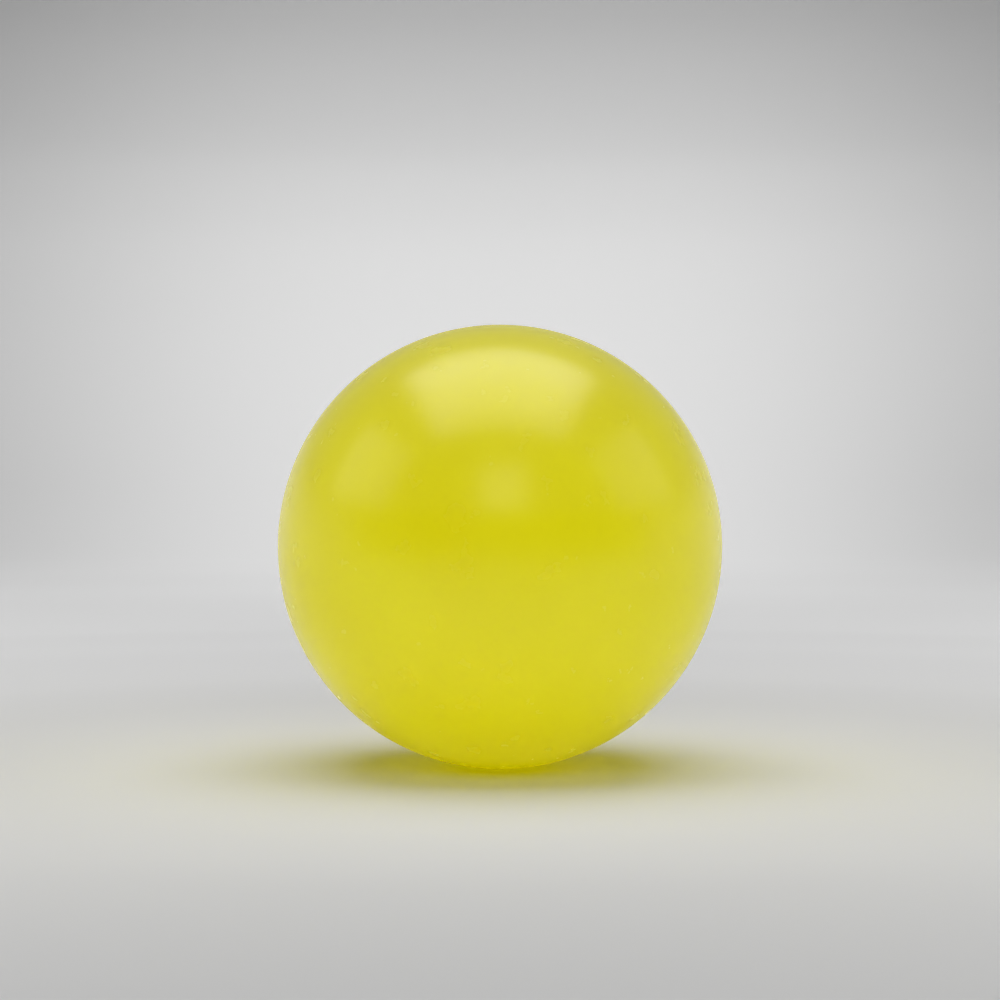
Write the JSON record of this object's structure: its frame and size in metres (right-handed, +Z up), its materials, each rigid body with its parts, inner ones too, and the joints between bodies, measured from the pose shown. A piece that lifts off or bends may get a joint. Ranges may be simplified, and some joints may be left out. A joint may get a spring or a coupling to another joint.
{
  "type": "golf ball",
  "caption": "Smooth, undimpled glossy yellow golf ball with a translucent cover over a mantle and a solid rubber core.",
  "frame": {"origin": "the centre of the ball", "axes": "+Z up, at right angles to the cover's seam, which lies in the plane Z = 0; +X and +Y are level, with the mantle's seam in the plane X = 0"},
  "size_m": [0.0426, 0.0426, 0.0426],
  "materials": {
    "cover_ionomer": "gloss",
    "mantle_ionomer": "satin",
    "core_rubber": "matte"
  },
  "bodies": {
    "root": {"cover_upper": "cover_ionomer", "cover_lower": "cover_ionomer", "mantle_left": "mantle_ionomer", "mantle_right": "mantle_ionomer", "core": "core_rubber"}
  },
  "joints": []
}
